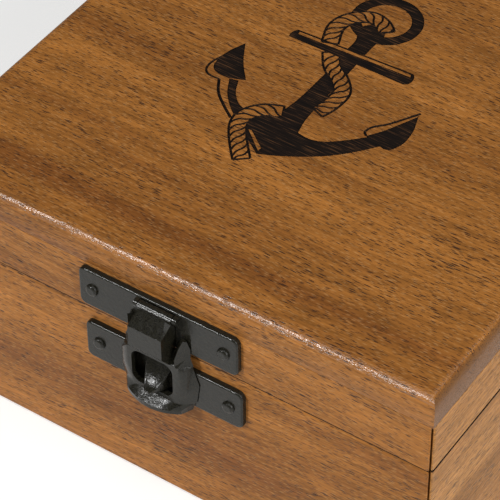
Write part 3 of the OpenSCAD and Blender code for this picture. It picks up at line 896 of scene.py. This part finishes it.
def makeTongue():
    sizes = tongueSizes
    source = frame["nodes"]["latch_tongue"]
    tongue = bpy.data.objects.new("latchTongue", source.data.copy())
    bpy.context.scene.collection.objects.link(tongue)
    pick(tongue)
    bpy.ops.object.mode_set(mode="EDIT")
    bpy.ops.mesh.select_all(action="SELECT")
    bpy.ops.mesh.remove_doubles(threshold=0.004 * mm)
    bpy.ops.mesh.dissolve_limited(angle_limit=math.radians(2.5))
    faceAt = -halfDepth - sizes["face"] * mm
    middle = sizes["middle"] * mm
    inner, outer = (v * mm for v in sizes["flank"])
    foot, head = (v * mm for v in sizes["flankHeight"])
    selectWhere(tongue, "edges", lambda c, d: near(c.y, faceAt, 0.05 * mm) and abs(d.z) > 0.7
                and inner < abs(c.x - middle) < outer and foot < c.z < head)
    bpy.ops.mesh.bevel(offset=sizes["flankRound"] * mm, segments=6, profile=0.5, clamp_overlap=True)
    selectWhere(tongue, "edges", lambda c, d: near(c.y, faceAt, 0.05 * mm) and abs(d.x) > 0.9
                and near(c.z, sizes["root"] * mm, 0.1 * mm))
    bpy.ops.mesh.bevel(offset=sizes["lipHollow"] * mm, segments=6, profile=0.5, clamp_overlap=True)
    beyond, below = (v * mm for v in sizes["rim"])
    selectWhere(tongue, "edges", lambda c, d: abs(d.z) > 0.9 and c.z < below and abs(c.x - middle) > beyond)
    bpy.ops.mesh.bevel(offset=sizes["rimRound"] * mm, segments=6, profile=0.5, clamp_overlap=True)
    bpy.ops.object.mode_set(mode="OBJECT")
    # A flat strip runs across the hood's top, in front of the knuckle
    (bevelOut, stripTop), (stripOut, stripFoot) = sizes["strip"]
    half = sizes["hoodWidth"] / 2
    strip = addCube("strip", frontPlace(sizes["middle"] - half, stripOut, stripFoot),
                    frontPlace(sizes["middle"] + half, sizes["stripBack"], stripTop))
    pick(strip)
    bpy.ops.object.mode_set(mode="EDIT")
    bpy.ops.mesh.select_all(action="SELECT")
    bpy.ops.mesh.bisect(plane_co=frontPlace(0, bevelOut, stripTop), plane_no=sizes["stripWay"],
                        use_fill=True, clear_outer=True)
    bpy.ops.object.mode_set(mode="OBJECT")
    joinWith(tongue, strip)
    (left, right), (foot, head) = sizes["window"]
    back, front = sizes["windowReach"]
    cutter = addCube("window", frontPlace(left, front, foot), frontPlace(right, back, head))
    selectWhere(cutter, "edges", lambda c, d: abs(d.y) > 0.9)
    bpy.ops.mesh.bevel(offset=sizes["windowRound"] * mm, segments=8, profile=0.5)
    bpy.ops.object.mode_set(mode="OBJECT")
    cutWith(tongue, cutter)
    for vert in tongue.data.vertices:
        beyond = abs(vert.co.x - middle) - sizes["cornerFrom"] * mm
        if vert.co.z < sizes["root"] * mm and beyond > 0:
            # The lip's corners are rounded off
            share = 1 if vert.co.z < sizes["cornerBelow"] * mm else sizes["cornerShare"]
            vert.co.x -= math.copysign(beyond * share * sizes["cornerPull"], vert.co.x - middle)
    pick(tongue)
    bpy.ops.object.mode_set(mode="EDIT")
    bpy.ops.mesh.select_all(action="SELECT")
    bpy.ops.mesh.remove_doubles(threshold=0.02 * mm)
    bpy.ops.mesh.dissolve_limited(angle_limit=math.radians(2.5))
    bpy.ops.object.mode_set(mode="OBJECT")
    applyModifier(tongue, "BEVEL", width=sizes["edgeRound"] * mm, segments=3, limit_method="ANGLE",
                  angle_limit=math.radians(26), use_clamp_overlap=True)
    finishLatch(tongue, "tongue", "latch_tongue", 24)


makeUpperPlate()
makeLowerPlate()
makeTongue()
easedCopy("latchPin", "latch_pin", "black_latch", 0.1)
hingeEases = {"body_leaf": 0.2, "lid_leaf": 0.2, "pin": 0.15}
for side in ("left", "right"):
    for part, ease in hingeEases.items():
        name = side + "Hinge" + "".join(w.title() for w in part.split("_"))
        easedCopy(name, f"{side}_hinge_{part}", "black_hinges", ease)


# Nails: each place gets one of its own
def nailPlaces(node):
    # Middles of the two nails of a node, on the face that they are driven into
    low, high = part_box(node)
    head = nailSizes["headRadius"] * mm
    height = (low.z + high.z) / 2
    front = low.y < 0
    proud = nailSizes["headHeight"] * mm
    seat = low.y + proud if front else high.y - proud
    return [(Vector((x, seat, height)), 1 if front else -1) for x in (low.x + head, high.x - head)]


def makeNail(name):
    sizes = nailSizes
    bpy.ops.object.select_all(action="DESELECT")
    bpy.ops.mesh.primitive_cylinder_add(vertices=sizes["sides"], radius=sizes["headRadius"] * mm,
                                        depth=sizes["headHeight"] * mm,
                                        location=(0, 0, sizes["headHeight"] / 2 * mm))
    nail = bpy.context.active_object
    nail.name = nail.data.name = name
    bpy.ops.object.transform_apply(location=True, rotation=True, scale=True)
    top = sizes["headHeight"] * mm
    selectWhere(nail, "edges", lambda c, d: near(c.z, top) and abs(d.z) < 0.1)
    bpy.ops.mesh.bevel(offset=sizes["domeRound"] * mm, segments=6, profile=0.5)
    selectWhere(nail, "polygons", lambda c, d: d.z < -0.98)
    bpy.ops.mesh.inset(thickness=(sizes["headRadius"] - sizes["shank"]) * mm)
    for run in (sizes["length"] - sizes["point"], sizes["point"]):
        bpy.ops.mesh.extrude_region_move(TRANSFORM_OT_translate={"value": (0, 0, -run * mm)})
    share = sizes["pointShare"]
    bpy.ops.transform.resize(value=(share, share, 1), center_override=(0, 0, -sizes["length"] * mm))
    bpy.ops.object.mode_set(mode="OBJECT")
    return nail


def nailPair(name, node):
    copies = []
    for centre, way in nailPlaces(node):
        nail = makeNail(name)
        nail.data.transform(Matrix.Rotation(math.radians(90 * way), 4, "X"))
        nail.data.transform(Matrix.Translation(centre))
        copies.append(nail)
    bpy.ops.object.select_all(action="DESELECT")
    for nail in copies:
        nail.select_set(True)
    bpy.context.view_layer.objects.active = copies[0]
    bpy.ops.object.join()
    pair = copies[0]
    pair.name = pair.data.name = name
    cleanUp(pair)
    giveMaterials(pair, blackSteel)
    settle(pair, bodyOf[node], "black_nails", node)


for node in sorted(n for n in bodyOf if n.endswith("nails")):
    words = node.split("_")
    nailPair(words[0] + "".join(w.title() for w in words[1:]), node)


# Stage: floor, lights and camera
print("stage")
stageLooks = {
    "floorWidth": 12,        # m
    "floorDrop": 0.02,       # mm below the box
    "floorColour": "#e9e9e7",
    "ownLight": 0.3,         # share of white that the floor shows by itself
    "worldColour": "#b9bcc0",
    "worldLevel": 0.16,
}


def paleFloor():
    bpy.ops.object.select_all(action="DESELECT")
    bpy.ops.mesh.primitive_plane_add(size=stageLooks["floorWidth"],
                                     location=(0, 0, -stageLooks["floorDrop"] * mm))
    floor = bpy.context.active_object
    floor.name = "floor"
    mat = newMaterial("palePaperFloor")
    tree = mat.node_tree
    rays = addNode(tree, "LightPath").outputs
    seen = calculate(tree, "MAXIMUM", i0=rays["Is Camera Ray"], i1=rays["Is Glossy Ray"])
    seen = calculate(tree, "MAXIMUM", i0=seen, i1=rays["Is Transmission Ray"])
    level = calculate(tree, "MULTIPLY", i0=seen, i1=stageLooks["ownLight"])
    paper = addNode(tree, "BsdfDiffuse", Color=linear(stageLooks["floorColour"]))
    glow = addNode(tree, "Emission", Color=(1, 1, 1, 1), Strength=level)
    both = addNode(tree, "AddShader", i0=paper.outputs[0], i1=glow.outputs[0])
    addNode(tree, "OutputMaterial", i0=both.outputs[0])
    floor.data.materials.append(mat)


lamps = [                    # name, place and side in m, power in W
    ("frontLeftLight", (-0.5, -0.95, 0.78), 0.15, 8.8),
    ("rightLight", (1.3, -0.25, 0.75), 1.0, 16),
    ("topLight", (0.3, -0.5, 1.5), 1.0, 7),
]
lampTarget = (0, 0, 0.03)


def softLight(name, place, side, power):
    data = bpy.data.lights.new(name, "AREA")
    data.shape = "SQUARE"
    data.size = side
    data.energy = power
    lamp = bpy.data.objects.new(name, data)
    bpy.context.scene.collection.objects.link(lamp)
    lamp.location = place
    lamp.rotation_euler = (Vector(lampTarget) - Vector(place)).to_track_quat("-Z", "Y").to_euler()


paleFloor()
for lamp in lamps:
    softLight(*lamp)

world = bpy.data.worlds.new("greyStudio")
bpy.context.scene.world = world
world.use_nodes = True
backdrop = world.node_tree.nodes["Background"]
backdrop.inputs["Color"].default_value = linear(stageLooks["worldColour"])
backdrop.inputs["Strength"].default_value = stageLooks["worldLevel"]

cameraView = {
    "place": (0.21896, -0.35283, 0.42341),   # m
    "azimuth": 34.27,
    "tilt": 45.70,
    "roll": -0.504,
    "lens": 186.44,
    "sensor": 36,
}
lensData = bpy.data.cameras.new("camera")
lensData.lens = cameraView["lens"]
lensData.sensor_width = cameraView["sensor"]
camera = bpy.data.objects.new("camera", lensData)
bpy.context.scene.collection.objects.link(camera)
camera.matrix_world = (Matrix.Translation(cameraView["place"])
                       @ Matrix.Rotation(math.radians(cameraView["azimuth"]), 4, "Z")
                       @ Matrix.Rotation(math.radians(cameraView["tilt"]), 4, "X")
                       @ Matrix.Rotation(math.radians(cameraView["roll"]), 4, "Z"))
bpy.context.scene.camera = camera
bpy.context.scene.view_settings.view_transform = "Standard"
